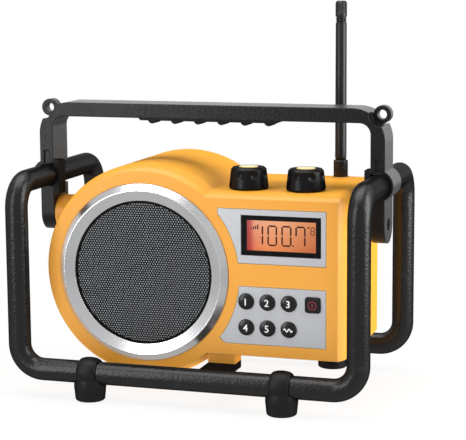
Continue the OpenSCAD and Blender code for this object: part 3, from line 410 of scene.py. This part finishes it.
key_black = moulding("key_black", rgb(10, 10, 11), rough=0.2, edge=0.0005, gloss=0.45)
mark_white = moulding("mark_white", rgb(236, 236, 232), rough=0.5)
mark_red = moulding("mark_red", rgb(126, 20, 42), rough=0.4)
border = moulding("border_black", rgb(8, 8, 9), rough=0.4, gloss=0.05)
socket_black = moulding("socket_black", rgb(16, 16, 18), rough=0.35)
segment = moulding("segment_dark", rgb(52, 18, 13), rough=0.5, gloss=0.05)
faint = moulding("segment_faint", rgb(108, 60, 46), rough=0.5, gloss=0.05)
cream = moulding("disc_cream", rgb(238, 204, 122), rough=0.28)
board = moulding("board_green", rgb(44, 104, 62), rough=0.4)
guide = moulding("backlight_white", rgb(226, 222, 214), rough=0.3)
cone_paper = moulding("cone_paper", rgb(34, 34, 36), rough=0.8, skin=700.0, depth=0.0001)
lining = moulding("lining_cloth", rgb(176, 181, 185), rough=0.9, skin=2400.0, depth=0.00005, gloss=0.1)
spider_cloth = moulding("spider_cloth", rgb(176, 132, 62), rough=0.8, skin=900.0, depth=0.0001)
mesh_black = moulding("grille_black", rgb(8, 8, 9), rough=0.45, edge=0.0001, gloss=0.08)
wrap = moulding("cell_wrap", rgb(58, 86, 110), rough=0.3)
print("materials in all:", len(bpy.data.materials))

# %% [markdown]
# Each solid takes the finish of its material slot. One table says which solid gets which, so that a finish can be
# changed in one place. A node's object stays where the frame put it: only its slots change.

# %% Dress the solids
dress = {
    paint: ["left_side_tube", "right_side_tube", "front_cross_tube", "rear_cross_tube", "bracket_bolts",
            "clamp_screws"],
    moulded: ["handle"],
    rubber: ["front_left_foot", "front_right_foot", "rear_left_foot", "rear_right_foot", "handle_grip", "clamp_jaws",
             "front_saddle", "body_bumper", "speaker_surround"],
    sheath: ["antenna_ferrule", "antenna_whip", "antenna_tip"],
    knob_skin: ["volume_knob", "tuning_knob"],
    yellow: ["front_cabinet", "rear_cabinet", "battery_door"],
    chrome: ["speaker_ring"],
    zinc: ["tube_joiners", "case_screws", "speaker_screws", "control_nuts", "door_screw", "hinge_pins",
           "battery_contacts", "volume_shaft", "tuning_shaft"],
    steel: ["speaker_frame", "volume_control", "tuning_encoder"],
    iron: ["speaker_magnet"],
    silver: ["display_panel", "keypad_panel"],
    window: ["display_window"],
    amber: ["lcd_glass"],
    border: ["display_border"],
    socket_black: ["audio_socket"],
    guide: ["lcd_backlight"],
    key_black: ["key_1", "key_2", "key_3", "key_4", "key_5", "band_key", "power_key"],
    board: ["keypad_board", "main_board"],
    cream: ["volume_disc", "tuning_disc"],
    cone_paper: ["speaker_cone"],
    spider_cloth: ["speaker_spider"],
    wrap: ["battery_cells"],
    mesh_black: ["speaker_grille"],
}
for finish, names in dress.items():
    for name in names:
        solids[name].data.materials.clear()
        solids[name].data.materials.append(finish)
print("dressed", sum(len(names) for names in dress.values()), "of", len(solids))

# %% [markdown]
# Some pieces are made only here. Each is a mesh that rides on the body it belongs to, so that it moves with that body,
# and it names the record's slot that its finish stands for. Round ones are spun like work on a lathe: an outline goes
# around the speaker's axis in steps, and quads join each step to the one before. A Screw modifier could do this too,
# but a plain mesh leaves nothing to apply.

# %% New pieces
SPIN_STEPS = 120


def new_piece(name, mesh, finishes, body="radio"):
    """Puts a mesh in the scene, rides it on a body, and names the record's slot that it belongs to."""
    piece = bpy.data.objects.new(name, mesh)
    scene.collection.objects.link(piece)
    for finish in finishes:
        mesh.materials.append(finish)
    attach(piece, body)
    return piece


def to_mesh(bm, name):
    mesh = bpy.data.meshes.new(name)
    bm.to_mesh(mesh)
    bm.free()
    return mesh


def turned(bm, outline):
    """Spins a closed outline of (radius, y) pairs around the speaker's axis."""
    angles = [2 * math.pi * i / SPIN_STEPS for i in range(SPIN_STEPS)]
    loops = [[bm.verts.new((r * math.cos(a), y, r * math.sin(a))) for r, y in outline] for a in angles]
    for i in range(SPIN_STEPS):
        for j in range(len(outline)):
            bm.faces.new((loops[i - 1][j], loops[i - 1][j - 1], loops[i][j - 1], loops[i][j]))


print("round pieces have", SPIN_STEPS, "steps")

# %% [markdown]
# Behind the ring is a black steel sheet with thousands of small holes in a honeycomb. CAD keeps the sheet closed,
# because the physics needs no holes, so here it is made again. Cutting each hole out of a disc would be slow and leave
# ragged faces. Instead each cell is a ring of six quads between a hexagon and its hole, and six more that go back into
# the hole as its wall. The cells share their outer corners, and a spun rim sits under the ring. The holes stop short of
# the ring, so a band of plain black sheet shows inside it: a painted shadow under the ring's inner edge.

# %% Perforated sheet
# The holes end at SHEET_R, short of the ring: the plain black band left inside it is a painted shadow.
SHEET_R, SHEET_FRONT, SHEET_THICK = 0.0562, -0.0568, 0.0004
SHEET_BACK = SHEET_FRONT + SHEET_THICK
PITCH, HOLE_R = 0.0021, 0.0007
RIM_INNER, RIM_OUTER = 0.0556, 0.0600
LIP_INNER, LIP_BACK = 0.0592, -0.05521


def perforated_sheet():
    bm = bmesh.new()
    corner = PITCH / math.sqrt(3)
    reach = int(SHEET_R / PITCH * 1.2) + 1
    spokes = [math.radians(60 * k + 30) for k in range(6)]
    for row in range(-reach, reach + 1):
        for column in range(-reach, reach + 1):
            x, z = PITCH * (column + 0.5 * (row % 2)), row * PITCH * math.sqrt(3) / 2
            if math.hypot(x, z) > SHEET_R:
                continue
            outer, inner, back = ([bm.verts.new((x + r * math.cos(a), y, z + r * math.sin(a))) for a in spokes]
                                  for r, y in ((corner, SHEET_FRONT), (HOLE_R, SHEET_FRONT), (HOLE_R, SHEET_BACK)))
            for k in range(6):
                bm.faces.new((outer[k - 1], outer[k], inner[k], inner[k - 1]))
                bm.faces.new((inner[k - 1], inner[k], back[k], back[k - 1]))
    bmesh.ops.remove_doubles(bm, verts=bm.verts, dist=PITCH * 0.05)
    turned(bm, [(RIM_INNER, SHEET_FRONT), (RIM_OUTER, SHEET_FRONT), (RIM_OUTER, LIP_BACK), (LIP_INNER, LIP_BACK),
                (LIP_INNER, SHEET_BACK), (RIM_INNER, SHEET_BACK)])
    bmesh.ops.translate(bm, verts=bm.verts, vec=SPEAKER)
    return to_mesh(bm, "perforated_sheet")


sheet = new_piece("perforated_sheet", perforated_sheet(), [mesh_black])
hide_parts("speaker_grille")
print("sheet:", len(sheet.data.polygons), "faces")

# %% [markdown]
# A thin pale cloth lines the back of the sheet, keeps dust off the cone, and shows through the holes as a field of grey
# dots. It is spun too, with a pinhole in its middle, so that its quads don't close to a point.

# %% Cloth lining
CLOTH_R, CLOTH_FRONT, CLOTH_BACK = 0.0586, -0.05635, -0.0561
PINHOLE_R = 0.0004


def cloth_lining():
    bm = bmesh.new()
    turned(bm, [(PINHOLE_R, CLOTH_FRONT), (CLOTH_R, CLOTH_FRONT), (CLOTH_R, CLOTH_BACK), (PINHOLE_R, CLOTH_BACK)])
    bmesh.ops.translate(bm, verts=bm.verts, vec=SPEAKER)
    return to_mesh(bm, "cloth_lining")


cloth = new_piece("cloth_lining", cloth_lining(), [lining])
print("cloth:", len(cloth.data.polygons), "faces")

# %% [markdown]
# The figures on the display are liquid crystal segments: thin bars with pointed ends, seven to a digit. A font has no
# such shapes, so a digit is a word that names which of its bars are dark. The bars lie on the glass, just behind the
# window.

# %% Segments
SEGMENTS = {"a": ((0, 1), (1, 1)), "b": ((1, 1), (1, 0.5)), "c": ((1, 0.5), (1, 0)), "d": ((0, 0), (1, 0)),
            "e": ((0, 0.5), (0, 0)), "f": ((0, 1), (0, 0.5)), "g": ((0, 0.5), (1, 0.5))}


def face_front(face):
    """Turns a flat face so that it looks out of the front."""
    face.normal_update()
    if face.normal.y > 0:
        face.normal_flip()


def bar(bm, start, end, wide, y, slot=0, pointed=True):
    """A flat bar from one point to another, seen from the front."""
    a, b = Vector(start), Vector(end)
    run = (b - a).normalized()
    side = Vector((-run.y, run.x)) * wide / 2
    nose = run * wide / 2
    outline = [a - side, b - side, b + side, a + side]
    if pointed:
        outline = [a, a + nose - side, b - nose - side, b, b - nose + side, a + nose + side]
    face = bm.faces.new([bm.verts.new((p.x, y, p.y)) for p in outline])
    face.material_index = slot
    face_front(face)


def figure(bm, x0, x1, z0, z1, word, wide, y, slot=0, gap=0.0002):
    """A digit in a box that its strokes' middles run along."""
    for letter in word:
        (ax, az), (bx, bz) = SEGMENTS[letter]
        a = Vector((x0 + (x1 - x0) * ax, z0 + (z1 - z0) * az))
        b = Vector((x0 + (x1 - x0) * bx, z0 + (z1 - z0) * bz))
        run = (b - a).normalized() * gap
        bar(bm, a + run, b - run, wide, y, slot)


print("segments:", "".join(SEGMENTS))

# %% [markdown]
# Four large digits and a point fill the display. Rising bars stand at its upper left corner, and a dash and a small
# faint digit at its upper right. All places are measured on the glass, as x and z.

# %% Display figures
HAIR = 0.00006
DIGITS = [("bc", 0.0494, 0.0563), ("abcdef", 0.0609, 0.0675), ("abcdef", 0.0721, 0.0790), ("abcf", 0.0833, 0.0902)]
DIGIT_FOOT, DIGIT_HEAD, DIGIT_STROKE = 0.1264, 0.1414, 0.00125
POINT, POINT_STROKE = ((0.0803, 0.1266), (0.0814, 0.1266)), 0.0012
DASH, THIN_STROKE = ((0.0920, 0.1413), (0.0939, 0.1413)), 0.0010
RISING_BARS, RISING_LEFT, RISING_APART = 4, 0.0474, 0.0017
RISING_FOOT, RISING_HEAD, RISING_STEP = 0.1385, 0.1394, 0.0009
SMALL_DIGIT, SMALL_STROKE, SMALL_GAP = (0.0950, 0.0980, 0.1358, 0.1414), 0.0008, 0.0001


def display_figures():
    bm = bmesh.new()
    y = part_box("lcd_glass")[0][1] - HAIR
    for word, left, right in DIGITS:
        figure(bm, left, right, DIGIT_FOOT, DIGIT_HEAD, word, DIGIT_STROKE, y)
    bar(bm, *POINT, POINT_STROKE, y, pointed=False)
    for step in range(RISING_BARS):
        x = RISING_LEFT + RISING_APART * step
        bar(bm, (x, RISING_FOOT), (x, RISING_HEAD + RISING_STEP * step), THIN_STROKE, y, pointed=False)
    bar(bm, *DASH, THIN_STROKE, y, pointed=False)
    figure(bm, *SMALL_DIGIT, "abcdefg", SMALL_STROKE, y, slot=1, gap=SMALL_GAP)
    return to_mesh(bm, "display_figures")


figures = new_piece("display_figures", display_figures(), [segment, faint])
print("figures:", len(figures.data.polygons), "bars")

# %% [markdown]
# A mark printed on a round key follows the key's dome. It starts as a flat mesh. Its long edges are cut up so that it
# can bend, and its points are laid on the dome, a little proud of it. So it stays printed on the key from every side,
# and moves with it. A picture on the key would do too, but a mesh stays sharp from close by.

# %% Printing on a key
KEY_R, KEY_TOP = 0.0062, -0.0578
DOME_SINK, DOME_RISE = 0.0004, 0.0012
INK_PROUD, LONGEST_EDGE, SHORTEST_EDGE = 0.00008, 0.0006, 0.000002
MOST_CUTS = 6


def middle(node):
    """Where a piece's middle is, as x and z."""
    low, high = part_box(node)
    return (low[0] + high[0]) / 2, (low[2] + high[2]) / 2


def dome(r):
    """The y of a round key's top at a distance from its middle."""
    return KEY_TOP + DOME_SINK - DOME_RISE * math.sqrt(max(0.0, 1 - (r / KEY_R) ** 2))


def cut_up(mesh):
    """Cuts a flat mesh into triangles with no long edges."""
    bm = bmesh.new()
    bm.from_mesh(mesh)
    for _ in range(MOST_CUTS):
        bmesh.ops.triangulate(bm, faces=bm.faces)
        long = [e for e in bm.edges if e.calc_length() > LONGEST_EDGE]
        if not long:
            break
        bmesh.ops.subdivide_edges(bm, edges=long, cuts=1)
    bm.to_mesh(mesh)
    bm.free()


def printed(name, mesh, key, finish):
    """Lays a flat mesh, drawn in x and y about a middle, on a key's dome."""
    cut_up(mesh)
    x0, z0 = middle(key)
    bm = bmesh.new()
    bm.from_mesh(mesh)
    for v in bm.verts:
        v.co = (x0 + v.co.x, dome(math.hypot(v.co.x, v.co.y)) - INK_PROUD, z0 + v.co.y)
    bmesh.ops.dissolve_degenerate(bm, edges=bm.edges, dist=SHORTEST_EDGE)
    for face in bm.faces:
        face_front(face)
    bm.to_mesh(mesh)
    bm.free()
    mesh.validate()
    return new_piece(name, mesh, [finish], body=f"{key}_body")


print("keys from", middle("key_1"), "to", middle("key_5"))

# %% [markdown]
# The number keys carry plain white numerals. They could be drawn stroke by stroke, but the built-in font has cleaner
# curves. Its outlines are made a little bolder, and each numeral becomes a mesh about its own middle.

# %% Key numerals
NUMERAL_SIZE, BOLDER = 0.0078, 0.012


def numeral(text):
    curve = bpy.data.curves.new("numeral", "FONT")
    curve.body, curve.size = text, NUMERAL_SIZE
    curve.align_x, curve.align_y = "CENTER", "CENTER"
    curve.offset = NUMERAL_SIZE * BOLDER
    holder = bpy.data.objects.new("numeral", curve)
    scene.collection.objects.link(holder)
    mesh = bpy.data.meshes.new_from_object(holder.evaluated_get(bpy.context.evaluated_depsgraph_get()))
    bpy.data.objects.remove(holder)
    xs, ys = [v.co.x for v in mesh.vertices], [v.co.y for v in mesh.vertices]
    mesh.transform(Matrix.Translation((-(min(xs) + max(xs)) / 2, -(min(ys) + max(ys)) / 2, 0)))
    return mesh


for digit in "12345":
    print(printed(f"numeral_{digit}", numeral(digit), f"key_{digit}", mark_white).name)

# %% [markdown]
# The band key gets a plain wave and the power key the common ring with a bar, both drawn as ribbons: a row of quads
# along a path. They need no font. The power key is flat, so its mark only stands a hair before it.

# %% Wave and power marks
WAVE_STEP, WAVE_REACH, WAVE_HEIGHT, WAVE_STROKE = 0.0001, 0.0036, 0.0011, 0.0009
WAVE_POINTS = 36
POWER_R, POWER_STROKE = 0.0031, 0.0008
POWER_BAR, POWER_BAR_STROKE = [(0, -0.0015), (0, 0.0015)], 0.0011


def ribbon(path, wide):
    bm = bmesh.new()
    edges = []
    for i, p in enumerate(path):
        before, after = path[max(i - 1, 0)], path[min(i + 1, len(path) - 1)]
        run = (Vector(after) - Vector(before)).normalized()
        side = Vector((-run.y, run.x)) * wide / 2
        edges.append([bm.verts.new((p[0] + s * side.x, p[1] + s * side.y, 0)) for s in (1, -1)])
    for (a, b), (c, d) in zip(edges, edges[1:]):
        bm.faces.new((a, b, d, c))
    return to_mesh(bm, "ribbon")


def wave_mark():
    path = [(WAVE_STEP * i - WAVE_REACH, WAVE_HEIGHT * math.sin(2 * math.pi * i / WAVE_POINTS))
            for i in range(2 * WAVE_POINTS + 1)]
    return printed("band_wave", ribbon(path, WAVE_STROKE), "band_key", mark_white)


def power_mark():
    x0, z0 = middle("power_key")
    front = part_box("power_key")[0][1] - HAIR
    angles = [math.radians(a) for a in range(0, 361, 6)]
    ring = [(POWER_R * math.sin(a), POWER_R * math.cos(a)) for a in angles]
    bm = bmesh.new()
    for path, wide in ((ring, POWER_STROKE), (POWER_BAR, POWER_BAR_STROKE)):
        bm.from_mesh(ribbon(path, wide))
    for v in bm.verts:
        v.co = (x0 + v.co.x, front, z0 + v.co.y)
    for face in bm.faces:
        face_front(face)
    return new_piece("power_mark", to_mesh(bm, "power_mark"), [mark_red], body="power_key_body")


print(wave_mark().name, power_mark().name)

# %% [markdown]
# The studio is plain: a tall lamp on each side and a wide one above. Area lamps give the long soft highlights that a
# tube shows in a photograph, where point lamps would give hard spots.

# %% Lamps
def lamp(name, place, aim, size, power):
    light = bpy.data.lights.new(name, "AREA")
    light.shape, light.energy = "RECTANGLE", power
    light.size, light.size_y = size
    holder = bpy.data.objects.new(name, light)
    holder.location = place
    holder.rotation_euler = (Vector(aim) - Vector(place)).to_track_quat("-Z", "Y").to_euler()
    scene.collection.objects.link(holder)


lamp("left_lamp", place=(-0.42, -0.72, 0.46), aim=(0.0, 0.0, 0.4), size=(0.26, 0.9), power=3.5)
lamp("right_lamp", place=(0.75, 0.0, 0.46), aim=(0.0, 0.0, 0.4), size=(0.5, 0.9), power=7.6)
lamp("top_lamp", place=(-0.25, -0.05, 1.65), aim=(0.0, 0.0, 0.1), size=(1.5, 1.5), power=22.5)

# %% [markdown]
# The floor is pale and plain. A painted white floor would need much more light to look white, and would show its edge.
# So where it is seen it is mostly a white that gives off its own light, and the white share grows away from the radio,
# so that it runs into the white behind without a line. To other rays it differs, as on a light table: it glows on the
# underside, and mirrors as grey.

# %% Floor
FLOOR_R, FLOOR_DROP = 1.6, 0.0002
GLOW, SHOWN, MIRRORED = 1.6, 1.0, 0.42
FADE_FROM, FADE_OVER = 0.15, 0.35
PLAIN_NEAR, PLAIN_MORE, GLOW_SHARE = 0.88, 0.12, 0.7


def pale_floor():
    f = Finish("floor_pale", Roughness=0.9, Specular_IOR_Level=0.1)
    f.feed(Base_Color=f.blend(f.noise(scale=3.0, detail=3.0), grey(0.90), grey(0.93)))
    glow, white, dim = (f.add("ShaderNodeEmission", Color=grey(1.0), Strength=s) for s in (GLOW, SHOWN, MIRRORED))
    shown = f.add("ShaderNodeMixShader", i0=f.rays("Camera", "Transmission"), i1=glow, i2=white)
    plain = f.add("ShaderNodeMixShader", i0=f.rays("Glossy"), i1=shown, i2=dim)
    away = f.add("ShaderNodeVectorMath", {"operation": "LENGTH"}, out=1, i0=f.place)
    far = (away - FADE_FROM) / FADE_OVER & 1.0 | 0.0
    seen = f.rays("Camera", "Transmission", "Glossy") * (PLAIN_NEAR + far * PLAIN_MORE)
    f.mixed(seen | GLOW_SHARE, f.surface, plain)
    bm = bmesh.new()
    bmesh.ops.create_circle(bm, cap_ends=True, segments=96, radius=FLOOR_R)
    floor = bpy.data.objects.new("floor", to_mesh(bm, "floor"))
    floor.data.materials.append(f.material)
    scene.collection.objects.link(floor)
    floor.location.z = -FLOOR_DROP
    return floor


print(pale_floor().name, "radius", FLOOR_R)

# %% [markdown]
# The world is white where it is seen and lights gently. In a reflection it is a white backdrop behind the radio and a
# dim room in front of it, because an evenly white room would turn every black tube a flat grey.

# %% World
SKY_LIGHT, SKY_SEEN = 0.26, 0.74
ROOM, BACKDROP, BACKDROP_EDGE = 0.24, 0.9, 2.0

world = bpy.data.worlds.new("studio")
scene.world = world
world.use_nodes = True
back = world.node_tree.nodes["Background"].inputs
plug(back["Color"], grey(1.0))
sky = Nodes(world.node_tree)
toward = sky.add("ShaderNodeTexCoord", out="Generated")
behind = sky.add("ShaderNodeSeparateXYZ", out="Y", i0=toward) * BACKDROP_EDGE & 1.0 | 0.0
mirrored = sky.rays("Glossy") * (ROOM + behind * BACKDROP)
plug(back["Strength"], SKY_LIGHT + sky.rays("Camera", "Transmission") * SKY_SEEN + mirrored)
scene.view_settings.view_transform = "Standard"
print("world:", world.name, scene.view_settings.view_transform)

# %% [markdown]
